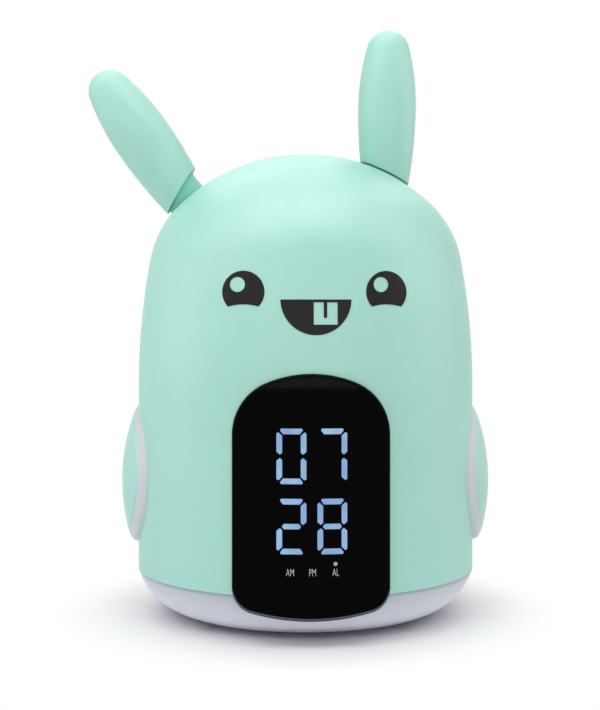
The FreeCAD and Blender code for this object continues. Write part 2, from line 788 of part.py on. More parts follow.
def barrel(reach, level, upright, side):
    """A barrel standing along a flank button: its side bulges level with one radius, upright with another."""
    half_height = 30.0
    end_radius = level - upright + math.sqrt(upright**2 - half_height**2)
    part = body("barrel")
    sketch = sketch_on(part, "XZ_Plane")
    trace(
        sketch,
        (0.0, -half_height),
        (end_radius, -half_height),
        ((level, 0.0), (end_radius, half_height)),
        (0.0, half_height),
        (0.0, -half_height),
    )
    revolve(part, sketch)
    stand = Placement(Vector(0, 0, reach - level), Rotation(Y_AXIS, 90))
    part.Placement = disc_frame(side).multiply(stand)
    return part


def rounded_drum(radius, start, bulge, rounding, side):
    """A drum on a flank button's axis whose end is the barrel's face, with its rim rounded."""
    drum = common(disc_axis_cylinder(radius, 30.0, start, side), bulge)
    doc.recompute()
    to_axis = disc_frame(side).inverse()

    def on_rim(edge):
        points = [to_axis.multVec(point) for point in edge.discretize(5)]
        return all(abs(math.hypot(p.x, p.y) - radius) < 1e-3 and p.z > start + 1.0 for p in points)

    rim = [edge for edge in drum.Shape.Edges if on_rim(edge)]
    return solid(drum.Shape.makeFillet(rounding, rim), "rounded_drum")


def make_flank_button(side, word):
    floor_top = D.ring_floor + D.ring_floor_wall
    ring_bulge = barrel(D.ring_reach, D.ring_bulge_level, D.ring_bulge_upright, side)
    wall = rounded_drum(D.ring_radius, D.ring_floor, ring_bulge, D.ring_round, side)
    flange = disc_axis_cylinder("ring_flange", "ring_floor_wall", D.ring_floor, side)
    bore = disc_axis_cylinder("ring_bore", 30.0, floor_top, side)
    stem_hole = disc_axis_cylinder("stem_radius + 1.4", 10.0, D.ring_floor - 5.0, side)
    name_part(cut(fuse(wall, flange), bore, stem_hole), f"side_ring_{word}")

    skirt_end = floor_top + D.cap_lift
    stem_end = D.ring_floor - 0.6
    cap_bulge = barrel(D.cap_reach, D.cap_bulge_level, D.cap_bulge_upright, side)
    outer = rounded_drum(D.cap_radius, skirt_end, cap_bulge, D.cap_round, side)
    inner_bulge = barrel(
        D.cap_reach - D.cap_wall,
        D.cap_bulge_level - D.cap_wall,
        D.cap_bulge_upright - D.cap_wall,
        side,
    )
    cavity = common(disc_axis_cylinder("cap_radius - cap_wall", 40.0, skirt_end - 10.0, side), inner_bulge)
    stem = disc_axis_cylinder("stem_radius", D.cap_reach - 1.0 - stem_end, stem_end, side)
    name_part(fuse(cut(outer, cavity), stem), f"side_cap_{word}")

    # The spring is drawn at its pressed length, so that it never meets the moving cap
    spring_inner, spring_outer, spring_end = 3.4, 4.6, floor_top + 9.0
    spring = turned_piece(
        [
            (spring_inner, floor_top),
            (spring_outer, floor_top),
            (spring_outer, spring_end),
            (spring_inner, spring_end),
            (spring_inner, floor_top),
        ],
        side,
    )
    name_part(spring, f"side_spring_{word}")
    plate = disc_axis_cylinder(9.0, "board", D.ring_floor - 6.6, side)
    case = disc_axis_cylinder(3.4, 3.2, D.ring_floor - 5.0, side)
    name_part(fuse(plate, case), f"side_switch_{word}")


# Ears: a hollow ear on a lever that swings about a pin in a bracket on the deck


def ear_frame(side):
    """Where an ear's pin is, and how the ear stands at rest: the left one is tipped outward."""
    lean = Rotation(Y_AXIS, -D.ear_lean) if side < 0 else Rotation()
    return Placement(Vector(side * D.pivot_across, 0, D.pivot_height), lean)


def ear_slot(side, wall=0.0):
    """The room that the neck sweeps in the dome as the ear tips, with rounded ends, or its collar."""
    gap = 0.5 + wall
    half_depth = D.slot_half_depth + wall
    near, far = 18.0, 48.0

    def edge_points(across, degrees):
        angle = math.radians(degrees)
        along = Vector(math.sin(angle), 0, math.cos(angle))
        out = Vector(math.cos(angle), 0, -math.sin(angle))
        return [along * near + out * across, along * far + out * across]

    inner_low, inner_high = edge_points(-D.neck_half_width - gap, D.neck_slant)
    outer_low, outer_high = edge_points(D.neck_half_width + gap, D.neck_slant + D.ear_lean)
    corners = [inner_low, inner_high, outer_high, outer_low]
    pin = Vector(D.pivot_across, 0, D.pivot_height)
    points = [corner + pin for corner in corners]
    points = [Vector(side * p.x, -half_depth, p.z) for p in points]
    block = Part.Face(Part.makePolygon(points + points[:1])).extrude(Vector(0, 2 * half_depth, 0))
    ends = []
    for edge in block.Edges:
        low, high = (vertex.Point for vertex in edge.Vertexes)
        tops = sum(1 for p in (low, high) if (p - Vector(side * pin.x, 0, pin.z)).Length > far - 1)
        if abs(low.y - high.y) < 1e-6 and tops == 1:
            ends.append(edge)
    return solid(block.makeFillet(5.5 + wall, ends), "ear_slot_block")


def ear_profile(inset):
    """Half of an ear's outline in front view, from a low station to its tip, inside its outer face."""
    belly_radius = belly_arc_radius()
    tip = (0.0, D.ear_tip - D.ear_tip_radius)
    belly = (D.ear_half_width - belly_radius, D.ear_belly)
    lower = (D.ear_half_width - D.ear_lower_radius, D.ear_belly)
    join = Vector(tip[0] - belly[0], tip[1] - belly[1], 0).normalize()
    join_angle = math.atan2(join.y, join.x)

    def on(centre, radius, angle):
        reach = radius - inset
        return (centre[0] + reach * math.cos(angle), centre[1] + reach * math.sin(angle))

    low_angle = -math.asin((D.ear_belly - 15.0) / D.ear_lower_radius)
    return [
        (0.0, on(lower, D.ear_lower_radius, low_angle)[1]),
        on(lower, D.ear_lower_radius, low_angle),
        (on(lower, D.ear_lower_radius, low_angle / 2), on(lower, D.ear_lower_radius, 0.0)),
        (on(belly, belly_radius, join_angle / 2), on(belly, belly_radius, join_angle)),
        (on(tip, D.ear_tip_radius, (join_angle + math.pi / 2) / 2), on(tip, D.ear_tip_radius, math.pi / 2)),
        (0.0, on(lower, D.ear_lower_radius, low_angle)[1]),
    ]


def belly_arc_radius():
    """Radius of the ear's upper sides, which run into the tip's rounding without a break."""
    across = D.ear_half_width
    rise = D.ear_tip - D.ear_tip_radius - D.ear_belly
    tip = D.ear_tip_radius
    return (across**2 + rise**2 - tip**2) / (2 * (across - tip))


def ear_blank(inset):
    """A whole ear, turned about its own axis."""
    part = body("ear_blank")
    sketch = sketch_on(part, "XZ_Plane")
    trace(sketch, *ear_profile(inset))
    revolve(part, sketch)
    doc.recompute()
    return part.Shape


def lean_over(shape, side):
    """Carry an ear from its own axis to its pin's frame."""
    own_axis = Placement(Vector(side * D.ear_offset, 0, 0), Rotation(Y_AXIS, side * D.ear_slant))
    moved = shape.copy()
    moved.Placement = own_axis.multiply(moved.Placement)
    return moved


def above_base_plane(side, lift):
    """A large block above the ear's slanting base, raised by a lift."""
    heel = Vector(-side * D.heel_across, 0, D.heel_height + lift)
    drop = (D.heel_height - D.toe_height) / (D.heel_across + D.toe_across)
    slant = math.degrees(math.atan(drop))
    block = Part.makeBox(120, 120, 120, Vector(-60, -60, 0))
    block.Placement = Placement(heel, Rotation(Y_AXIS, side * slant))
    return block


def ear_seat(side):
    """All that stands above the flat seat under an upright ear."""
    block = above_base_plane(side, -D.ear_seat)
    block.translate(Vector(side * D.pivot_across, 0, D.pivot_height))
    return solid(block, "ear_seat_block")


def neck_shape(side, gap, start, end):
    """The elliptical neck, or the socket for it, between two distances from the pin."""
    major = D.neck_half_width + gap
    minor = D.neck_half_depth + gap
    oval = Part.Ellipse(Vector(0, 0, start), major, minor).toShape()
    post = Part.Face(Part.Wire(oval)).extrude(Vector(0, 0, end - start))
    post.Placement = Placement(Vector(0, 0, 0), Rotation(Y_AXIS, side * D.neck_slant))
    return post


def make_ear(side, word):
    outer = lean_over(ear_blank(0.0), side).common(above_base_plane(side, 0.0))
    cavity = lean_over(ear_blank(D.ear_wall), side).common(above_base_plane(side, 2.6))
    shell = outer.cut(cavity).cut(neck_shape(side, 0.02, 20.0, 38.0))
    name_part(solid(shell, f"ear_{word}"), f"ear_shell_{word}").Placement = ear_frame(side)

    # The lever: neck, hub, web and a curved shutter that keeps the slot closed as the ear tips
    depth = 2 * D.shutter_half_depth
    first, last = -52.0, 64.0
    shutter = sector(D.shutter_radius, first, last, depth)
    shutter = shutter.cut(sector(D.shutter_radius - D.shutter_wall, first - 5, last + 5, depth + 2))
    web = sector(D.shutter_radius - 0.4, first, last, 3.0)
    hub = Part.makeCylinder(D.hub_radius, depth, Vector(0, -depth / 2, 0), Y_AXIS)
    lever = shutter.fuse([web, hub])
    if side < 0:
        lever = lever.mirror(Vector(0, 0, 0), X_AXIS)
    lever = lever.fuse(neck_shape(side, 0.0, 10.0, D.neck_top))
    bore = Part.makeCylinder(D.ear_pin_radius + D.pin_clearance, 40, Vector(0, -20, 0), Y_AXIS)
    lever = lever.cut(bore).removeSplitter()
    name_part(solid(lever, f"lever_{word}"), f"ear_lever_{word}").Placement = ear_frame(side)


def sector(radius, first, last, depth):
    """A slice of a drum about the pin, between two angles measured outward from the upright."""
    def at(degrees):
        angle = math.radians(degrees)
        return Vector(radius * math.sin(angle), -depth / 2, radius * math.cos(angle))

    arc = Part.Arc(at(first), at((first + last) / 2), at(last)).toShape()
    origin = Vector(0, -depth / 2, 0)
    sides = [Part.LineSegment(at(last), origin).toShape(), Part.LineSegment(origin, at(first)).toShape()]
    return Part.Face(Part.Wire([arc] + sides)).extrude(Vector(0, depth, 0))


def make_ear_mount(side, word):
    pin_x = side * D.pivot_across
    cheek = D.shutter_half_depth + 0.5
    base_low = D.deck_height
    plate = 1.8
    half_width = 6.0
    left = pin_x - half_width
    plates = []
    for y in (-cheek - plate, cheek):
        plates.append(box(2 * half_width, plate, D.pivot_height - base_low, (left, y, base_low)))
        plates.append(cylinder(half_width, plate, (pin_x, y, "pivot_height"), Y_AXIS))
    plates.append(box(2 * half_width, 2 * cheek, plate, (left, -cheek, base_low)))
    pin_bore = cylinder("ear_pin_radius + 0.02", 40.0, (pin_x, -20.0, "pivot_height"), Y_AXIS)
    name_part(cut(fuse(*plates), pin_bore), f"ear_bracket_{word}")
    pin_length = 2 * (cheek + plate) + 1.0
    pin = cylinder("ear_pin_radius", pin_length, (pin_x, -pin_length / 2, "pivot_height"), Y_AXIS)
    name_part(pin, f"ear_pin_{word}")

    # A leaf spring on two feet, just under the hub
    leaf_top = D.pivot_height - D.hub_radius - 0.35
    leaf = box(10.0, 4.0, 0.5, (pin_x - 5.0, -2.0, leaf_top - 0.5))
    foot_low = base_low + plate
    feet = [box(0.5, 4.0, leaf_top - foot_low, (x, -2.0, foot_low)) for x in (pin_x - 5.0, pin_x + 4.5)]
    name_part(fuse(leaf, *feet), f"ear_detent_{word}")

    switch_x = side * 46.0
    case = box(8.0, 6.4, 7.0, (switch_x - 4.0, -3.2, base_low))
    button = cylinder(1.2, 1.2, (switch_x, 0, base_low + 7.0))
    name_part(fuse(case, button), f"ear_switch_{word}")


def make_deck():
    plate = cylinder("deck_radius", "deck_wall", (0, 0, "deck_height - deck_wall"))
    openings = [cylinder(14.0, 6.0, (0, y, "deck_height - 4")) for y in (-30.0, 30.0)]
    places = [polar(51.0, angle) for angle in (30, 150, 210, 330)]
    holes = [cylinder("small_screw + 0.1", 6.0, (x, y, "deck_height - 4")) for x, y, _ in places]
    name_part(cut(plate, *openings, *holes), "ear_deck")
    screws = [screw(2.0, 1.4, D.small_screw, 9.0, (x, y, D.deck_height + 1.4), -Z_AXIS) for x, y, _ in places]
    name_part(fuse(*screws), "deck_screws")


# Power, boards and sound

BOARD_HEIGHT = 26.0
BOARD_POSTS = [(x, y) for x in (-14.0, 14.0) for y in (-20.0, 20.0)]


def make_battery_bay():
    wall = 1.3
    half = D.door_half_width
    low = D.base_bottom + D.base_wall + 0.05
    top = 16.9
    front, rear = D.door_front - 0.9, D.door_rear + 0.6
    outer = box(2 * half + 1.6, rear - front, top - low, (-half - 0.8, front, low))
    inner_half = half - 0.6
    cell_front, cell_rear = -25.4, 25.3
    room_height = top - low - wall + 1
    room = box(2 * inner_half, cell_rear - cell_front, room_height, (-inner_half, cell_front, low - 1))
    screw_y = D.door_front + 2.5
    screw_bore = cylinder("small_screw + 0.75", 9.0, (0, screw_y, low - 1))
    tab_places = (-9.0, 9.0)
    notches = [box(7.6, 6.0, 4.2, (x - 3.8, cell_rear - 1.0, low - 1)) for x in tab_places]
    posts = [cylinder(2.6, BOARD_HEIGHT - top, (x, y, top)) for x, y in BOARD_POSTS]
    bores = [cylinder("small_screw + 0.05", 6.0, (x, y, BOARD_HEIGHT - 5.8)) for x, y in BOARD_POSTS]
    name_part(cut(fuse(outer, *posts), room, screw_bore, *notches, *bores), "battery_tray")

    door = body("battery_door_plate")
    sketch = sketch_on(door, "XY_Plane")
    half_long = (D.door_rear - D.door_front) / 2
    trace(sketch, *rounded(0, (D.door_rear + D.door_front) / 2, half, half_long, 2.0))
    pad(door, sketch, "door_wall")
    place(door, (0, 0, 1.0))
    tabs = [box(6.0, 2.2, 1.4, (x - 3.0, D.door_rear - 2.6, 3.1)) for x in tab_places]
    head_room = cylinder(2.7, 1.5, (0, screw_y, 0.9))
    shank_room = cylinder("small_screw + 0.3", 6.0, (0, screw_y, 0))
    grips = [box(14.0, 0.9, 0.5, (-7.0, y, 0.9)) for y in (12.0, 15.0, 18.0)]
    name_part(cut(fuse(door, *tabs), head_room, shank_room, *grips), "battery_door")
    name_part(screw(2.4, 1.2, D.small_screw, 7.0, (0, screw_y, 1.15), Z_AXIS), "door_screw")

    cells = []
    contacts = []
    for index in (-1, 0, 1):
        x = index * 10.8
        way = 1 if index == 0 else -1
        start = -way * D.cell_length / 2
        cells.append(cylinder("cell_radius", "cell_length - 1.2", (x, start, D.cell_height), Y_AXIS * way))
        tip = start + way * (D.cell_length - 1.2)
        cells.append(cylinder(1.9, 1.2, (x, tip, D.cell_height), Y_AXIS * way))
        spring_start = start - way * 0.05
        contacts.append(cone(3.2, 2.2, 2.2, (x, spring_start - way * 2.2, D.cell_height), Y_AXIS * way))
        for end in (-1, 1):
            y = end * 24.85 - 0.25
            contacts.append(box(8.4, 0.5, 8.4, (x - 4.2, y, D.cell_height - 4.2)))
        contacts.append(cylinder(1.6, 2.2, (x, way * 22.3, D.cell_height), Y_AXIS * way))
    name_part(fuse(*cells), "battery_cells")
    name_part(fuse(*contacts), "battery_contacts")


def make_boards():
    main = body("main_board_plate")
    sketch = sketch_on(main, "XY_Plane")
    trace(sketch, *rounded(0, 0, 27.0, 27.0, 3.0))
    pad(main, sketch, "board")
    place(main, (0, 0, BOARD_HEIGHT))
    holes = [cylinder("small_screw + 0.1", 6.0, (x, y, BOARD_HEIGHT - 2.0)) for x, y in BOARD_POSTS]
    name_part(cut(main, *holes), "main_board")
    top = BOARD_HEIGHT + D.board
    screws = [screw(2.0, 1.4, D.small_screw, 7.6, (x, y, top + 1.45), -Z_AXIS) for x, y in BOARD_POSTS]
    name_part(fuse(*screws), "board_screws")
    parts = [
        box(10.0, 10.0, 1.6, (-5.0, -5.0, top)),
        box(7.0, 5.0, 1.4, (8.0, -2.0, top)),
        box(8.0, 5.8, 6.2, (-4.0, 17.0, top)),
        box(10.0, 5.8, 6.2, (-23.0, -3.0, top)),
        box(3.2, 1.6, 0.9, (-14.0, 9.0, top)),
        cylinder(3.1, 8.0, (20.0, 12.0, top)),
        cylinder(2.5, 6.0, (20.0, 3.0, top)),
        cylinder(4.2, 4.0, (0.0, -16.0, top)),
        box(6.0, 2.4, 3.0, (4.0, 9.0, top)),
    ]
    name_part(fuse(*parts), "board_parts")

    ring = body("light_board_plate")
    sketch = sketch_on(ring, "XY_Plane")
    for radius in (39.0, 53.6):
        index = sketch.addGeometry(Part.Circle(Vector(0, 0, 0), Z_AXIS, radius), False)
        sketch.addConstraint(Sketcher.Constraint("Coincident", index, 3, -1, 1))
    pad(ring, sketch, "board")
    ring_height = 15.4
    place(ring, (0, 0, ring_height))
    bosses = [polar(D.boss_circle, angle, ring_height - 3.4) for angle in BOSS_ANGLES]
    clear = [cylinder("boss_radius + 0.1", 8.0, at) for at in bosses]
    name_part(cut(ring, *clear), "light_board")
    lights = []
    chip_height = 1.2
    for angle in range(0, 360, 30):
        chip = box(3.5, 2.8, chip_height, (-1.75, -1.4, 0))
        at = Vector(*polar(50.5, angle, ring_height - chip_height))
        lights.append(turned(chip, Placement(at, Rotation(Z_AXIS, angle))))
    name_part(fuse(*lights), "light_leds")


def speaker_grille():
    """The holes behind the speaker: one, six and twelve, in a round pattern."""
    holes = [(0.0, D.speaker_height)]
    for count, radius in ((6, 5.0), (12, 10.0)):
        for step in range(count):
            angle = 2 * math.pi * step / count
            holes.append((radius * math.cos(angle), D.speaker_height + radius * math.sin(angle)))
    return holes


def speaker_piece(steps):
    """A piece turned about the speaker's axis; its outline is distance from axis, then towards the rear."""
    part = body("speaker_piece")
    sketch = sketch_on(part, "XZ_Plane")
    trace(sketch, *steps)
    revolve(part, sketch)
    part.Placement = Placement(Vector(0, 0, D.speaker_height), Rotation(Z_AXIS, Y_AXIS))
    return part


def make_speaker():
    rim = D.speaker_radius
    frame = speaker_piece(
        [
            (rim, 52.6), (rim, 51.2), (rim - 2.5, 51.2), (12.0, 42.0), (8.0, 42.0), (8.0, 43.0),
            (11.4, 43.0), (rim - 3.4, 52.6), (rim, 52.6),
        ]
    )
    name_part(frame, "speaker_frame")
    magnet = speaker_piece([(0, 35.0), (11.0, 35.0), (11.0, 41.9), (0, 41.9), (0, 35.0)])
    name_part(magnet, "speaker_magnet")
    paper = speaker_piece(
        [
            (0, 44.4), (6.0, 44.4), (15.4, 51.2), (15.4, 51.7),
            (5.8, 45.0), (0, 45.0), (0, 44.4),
        ]
    )
    name_part(paper, "speaker_cone")


# Rear panel with its keys and the power socket


KEYS = [
    ("mode_button", -1, 57.0),
    ("sound_button", -1, 44.0),
    ("up_button", 1, 57.0),
    ("down_button", 1, 44.0),
]


def make_rear():
    middle = (D.panel_top + D.panel_bottom) / 2
    tall = (D.panel_top - D.panel_bottom) / 2
    plate = prism(rounded(0, middle, D.panel_half_width, tall, 5.0), 70.0, False)
    panel = common(plate, skin("panel_back", "panel_face", "0", "100"))
    posts = [cylinder(1.9, 8.2, (x, 50.0, z), Y_AXIS) for x in (-14.5, 14.5) for z in (28.5, 61.5)]
    key_places = [(f"{side} * key_across", 50.0, z) for _, side, z in KEYS]
    key_holes = [cylinder("key_radius + 0.3", 20.0, at, Y_AXIS) for at in key_places]
    socket_hole = prism(rounded(0, D.socket_height, 4.75, 1.85, 1.8), 70.0, False)
    name_part(cut(fuse(panel, *posts), *key_holes, socket_hole), "rear_panel")

    board = box(34.0, "board", 38.0, (-17.0, 48.4, 26.0))
    name_part(board, "key_board")
    cases = []
    for label, side, z in KEYS:
        x = side * D.key_across
        cases.append(box(6.0, 2.8, 6.0, (x - 3.0, 50.0, z - 3.0)))
        cases.append(cylinder(1.4, 0.5, (x, 52.8, z), Y_AXIS))
        stem = cylinder("key_radius", "key_face - 55.2", (f"{side} * key_across", 54.2, z), Y_AXIS)
        crown = cone(D.key_radius, D.key_radius - 0.6, 1.0, (x, D.key_face - 1.0, z), Y_AXIS)
        flange = cylinder("key_radius + 1.0", 0.8, (f"{side} * key_across", 54.2, z), Y_AXIS)
        name_part(fuse(stem, crown, flange), label)
    name_part(fuse(*cases), "key_switches")

    sleeve = prism(rounded(0, D.socket_height, 4.5, 1.65, 1.6), 60.0, False)
    hollow = prism(rounded(0, D.socket_height, 4.2, 1.35, 1.3), 60.0, False)
    tube = cut(sleeve, hollow)
    reach = box(20.0, 9.6, 20.0, (-10.0, 50.05, D.socket_height - 10.0))
    back = box(8.0, 1.0, 2.6, (-4.0, 50.05, D.socket_height - 1.3))
    tongue = box(6.4, 6.0, 0.7, (-3.2, 51.0, D.socket_height - 0.35))
    name_part(fuse(common(tube, reach), back, tongue), "usb_socket")


# Printed face


def circle_face(x, z, radius):
    ring = Part.Circle(Vector(x, 0, z), Y_AXIS, radius).toShape()
    return Part.Face(Part.Wire(ring))


def eye_face(x):
    """A round eye with a hollowed lower edge and a round catch-light."""
    eye = circle_face(x, D.eye_height, D.eye_radius)
    hollow = circle_face(x, D.eye_height - 21.0, 16.95)
    glint = circle_face(x - 1.9, D.eye_height + 2.4, 2.45)
    return eye.cut(hollow).cut(glint)


def mouth_face():
    """A half-round mouth with one square tooth that a thin line divides."""
    x, z = D.face_shift + D.mouth_shift, D.mouth_height
    radius = D.mouth_radius
    arc = Part.Arc(Vector(x + radius, 0, z), Vector(x, 0, z - radius), Vector(x - radius, 0, z)).toShape()
    edge = Part.LineSegment(Vector(x - radius, 0, z), Vector(x + radius, 0, z)).toShape()
    mouth = Part.Face(Part.Wire([arc, edge]))
    left, right = x - 0.75, x + 6.9
    top, bottom = z - 0.9, z - 8.05
    corners = [Vector(left, 0, bottom), Vector(right, 0, bottom), Vector(right, 0, top), Vector(left, 0, top)]
    tooth = Part.Face(Part.makePolygon(corners + corners[:1]))
    slit_x, slit_half, slit_low = x + 3.0, 0.55, z - 5.4
    left_top = Vector(slit_x - slit_half, 0, top)
    left_low = Vector(slit_x - slit_half, 0, slit_low)
    lowest = Vector(slit_x, 0, slit_low - slit_half)
    right_low = Vector(slit_x + slit_half, 0, slit_low)
    right_top = Vector(slit_x + slit_half, 0, top)
    slit = [
        Part.LineSegment(left_top, left_low).toShape(),
        Part.Arc(left_low, lowest, right_low).toShape(),
        Part.LineSegment(right_low, right_top).toShape(),
        Part.LineSegment(right_top, left_top).toShape(),
    ]
    return mouth.cut(tooth.cut(Part.Face(Part.Wire(slit))))


def make_face_print():
    low, high = 96.0, 124.0
    band = body("print_band")
    sketch = sketch_on(band, "XZ_Plane")
    middle = (low + high) / 2
    thick = D.print_thickness
    trace(
        sketch,
        (flank_radius_at(low), low),
        (flank_radius_at(low, thick), low),
        ((flank_radius_at(middle, thick), middle), (flank_radius_at(high, thick), high)),
        (flank_radius_at(high), high),
        ((flank_radius_at(middle), middle), (flank_radius_at(low), low)),
    )
    revolve(band, sketch)
    marks = [eye_face(D.face_shift + side * D.eye_half_distance) for side in (-1, 1)] + [mouth_face()]
    blocks = [face.extrude(Vector(0, -70, 0)) for mark in marks for face in mark.Faces]
    name_part(common(band, solid(Part.makeCompound(blocks), "print_blocks")), "face_print")


# Build every sub-part, check it and write it


make_dome()
make_base()
make_foot_ring()
make_base_screws()
make_display()
for side, word in ((-1, "left"), (1, "right")):
    make_flank_button(side, word)
    make_ear(side, word)
    make_ear_mount(side, word)
make_deck()
make_battery_bay()
make_boards()
make_speaker()
make_rear()
make_face_print()
doc.recompute()

for item in doc.Objects:
    if "Invalid" in item.State or "Error" in item.State:
        raise RuntimeError(f"{item.Name} ({item.Label}) failed: {item.State}")
os.makedirs("parts", exist_ok=True)
for label, item in SUB_PARTS.items():
    shape = item.Shape
    if shape.isNull() or not shape.isValid() or not shape.Solids:
        raise RuntimeError(f"{label} has no valid solid")
for label, item in SUB_PARTS.items():
    item.Shape.exportStep(f"parts/{label}.step")
    print(f"{label}: {len(item.Shape.Solids)} solids, {item.Shape.Volume:.0f} mm3")
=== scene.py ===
"""Looks of the kids alarm clock with night light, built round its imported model. Metres, +Z up, front -Y."""
import math

import bpy
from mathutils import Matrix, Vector


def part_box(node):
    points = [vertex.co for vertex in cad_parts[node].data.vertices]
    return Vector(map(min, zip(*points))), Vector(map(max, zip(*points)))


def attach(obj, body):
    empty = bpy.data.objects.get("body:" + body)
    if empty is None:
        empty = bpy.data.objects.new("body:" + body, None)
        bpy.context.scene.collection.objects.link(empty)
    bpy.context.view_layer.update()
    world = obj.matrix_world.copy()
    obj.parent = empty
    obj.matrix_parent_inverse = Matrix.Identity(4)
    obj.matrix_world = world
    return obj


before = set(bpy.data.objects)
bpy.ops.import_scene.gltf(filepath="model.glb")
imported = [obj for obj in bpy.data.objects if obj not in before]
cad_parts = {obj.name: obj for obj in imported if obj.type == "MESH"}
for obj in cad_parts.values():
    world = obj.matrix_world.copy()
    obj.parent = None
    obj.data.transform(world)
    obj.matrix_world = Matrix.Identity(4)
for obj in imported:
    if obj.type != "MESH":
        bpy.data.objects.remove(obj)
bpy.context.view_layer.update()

MM = 0.001

# Colours as they appear, from 0 to 1 per channel
MINT = (0.592, 0.815, 0.762)
# Painted shade: a deeper mint for the ear levers, which sit in shade
SHADED_NECK_MINT = (0.53, 0.82, 0.765)
KEY_MINT = (0.60, 0.80, 0.74)
RING_GREY = (0.76, 0.795, 0.81)
BASE_GREY = (0.74, 0.75, 0.79)
# Painted shade: the darker blue of the band just under the seam
SEAM_PAINTED_SHADE = (0.58, 0.65, 0.73)
LENS_BLACK = (0.006, 0.006, 0.008)
# Painted reflection: the lighter grey of the lens's down-turned sill bevel
LENS_SILL_REFLECTION = (0.33, 0.36, 0.39)
DIGIT_BLUE = (0.60, 0.75, 0.89)
DIGIT_LAVENDER = (0.55, 0.68, 0.86)
UNLIT_DARK = (0.02, 0.02, 0.03)
UNLIT_LIGHT = (0.03, 0.03, 0.04)
LABEL_GREY = (0.80, 0.80, 0.81)
INK_BLACK = (0.11, 0.10, 0.103)
# Grey of the rubber foot, made dark as painted shade so it reads as the contact shadow
FOOT_GREY_AND_SHADE = (0.22, 0.22, 0.23)
INNER_WHITE = (0.86, 0.86, 0.85)
INNER_GREY = (0.56, 0.57, 0.58)
COMPONENT_BLACK = (0.10, 0.10, 0.105)
LED_YELLOW = (0.93, 0.86, 0.50)
CONE_GREY = (0.16, 0.16, 0.16)
SLEEVE_BLUE = (0.14, 0.24, 0.46)
SLEEVE_PALE = (0.85, 0.85, 0.84)
CELL_METAL = (0.75, 0.75, 0.74)
FLOOR_WHITE = (0.93, 0.93, 0.93)

# Materials' own measures: grain in patches per metre, depths and heights in metres
GRAIN_PATCHES = 2600.0
GRAIN_DEPTH = 0.06 * MM
DRAWN_LINES = 900.0
DRAWN_DEPTH = 0.03 * MM
# Painted light: emission strength on the frosted base's down-turned curve, lifting its shaded underside
UNDERSIDE_PAINTED_LIGHT = 0.34
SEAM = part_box("dome_shell")[0].z + 3.0 * MM
# Band of painted shade just under the seam
SEAM_FADE_FROM = SEAM - 1.5 * MM
SEAM_FADE_TO = SEAM - 0.1 * MM
SLEEVE_END = 21.0 * MM
SLEEVE_BAND = 8.0 * MM

# Printed labels on the lens: capital height, row height and places across, in metres
LENS_RADIUS = 61.8 * MM
LABEL_HEIGHT = 2.35 * MM
LABEL_ROW = 24.3 * MM
LABELS = {"AM": -6.9 * MM, "PM": 0.2 * MM, "AL": 7.55 * MM}
LABEL_THICKNESS = 0.02 * MM
LABEL_LIFT = 0.03 * MM
CAPITAL_SHARE = 0.7
LABEL_WIDTH_FACTOR = 0.56
STROKE_OFFSET = -0.012

# The photograph's camera: an image 710 pixels high, counted from the middle of the first pixel
IMAGE_HEIGHT = 710
MIDDLE_COLUMN = 299.5
MIDDLE_ROW = 354.5
FOCAL_PIXELS = 1350
AXIS_COLUMN = 305.1
HORIZON_ROW = 310.25
CAMERA_AZIMUTH = -1.87
CAMERA_DISTANCE = 489.3 * MM
CAMERA_HEIGHT = 107.4 * MM
SENSOR = 36.0

# Studio: the floor keeps its shadow near the object; each light has a place, a width, a height and watts
FLOOR_REACH = 6.0
SHADOW_KEPT_TO = 56.0 * MM
SHADOW_GONE_AT = 93.0 * MM
AMBIENT = (0.075, 0.075, 0.079, 1)
PURE_WHITE = (1, 1, 1, 1)
LIGHT_TARGET = (0, 0, 0.09)
LIGHTS = {
    "overhead": ((0.0, -0.34, 1.26), 1.2, 1.2, 10.7),
    "rear_top": ((0.0, 0.75, 1.10), 1.6, 0.6, 4.5),
    "left_key": ((-0.82, -0.42, 0.90), 0.9, 0.9, 4.7),
    "right_key": ((0.95, -0.28, 0.84), 0.9, 0.9, 2.8),
    "front_strip": ((0.0, -1.25, 0.233), 2.0, 0.17, 3.1),
    "left_side": ((-1.25, 0.0, 0.22), 0.9, 0.7, 2.7),
    "right_side": ((1.25, 0.05, 0.22), 0.9, 0.7, 2.2),
}


# Materials


def linear(colour):
    """A colour as it appears, turned into the shader's linear values."""
    return tuple(c / 12.92 if c <= 0.04045 else ((c + 0.055) / 1.055) ** 2.4 for c in colour) + (1.0,)


def shade(colour, factor):
    return tuple(min(1.0, c * factor) for c in colour)


